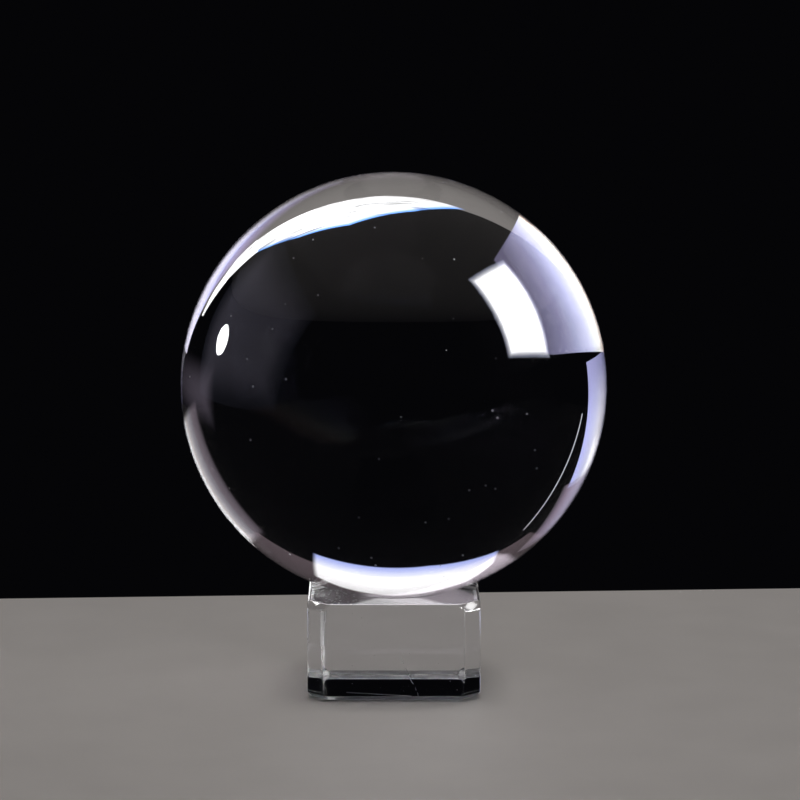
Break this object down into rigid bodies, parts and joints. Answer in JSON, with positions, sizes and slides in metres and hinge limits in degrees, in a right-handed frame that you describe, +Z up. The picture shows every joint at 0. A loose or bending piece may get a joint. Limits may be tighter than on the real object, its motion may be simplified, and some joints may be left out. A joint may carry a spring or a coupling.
{
  "type": "crystal ball",
  "caption": "Solid clear crystal ball that rests loose in the dished top of a low square crystal stand with cut corners.",
  "frame": {"origin": "centre of the stand's resting face, on the surface the stand stands on", "axes": "+Z up through the middle of the stand and the ball; X and Y square to the stand's side faces, -Y towards the front"},
  "size_m": [0.08, 0.08, 0.0969],
  "materials": {
    "ball_crystal": "optically clear solid crystal, polished all over",
    "stand_crystal": "clear solid crystal, polished faces, finely ground edges and dish"
  },
  "bodies": {
    "stand": {"stand": "stand_crystal"},
    "ball": {"ball": "ball_crystal"}
  },
  "joints": [
    {"name": "ball_lift", "type": "slide", "parent": "stand", "child": "ball", "axis": [0, 0, 1], "range_m": [0, 0.12]}
  ]
}
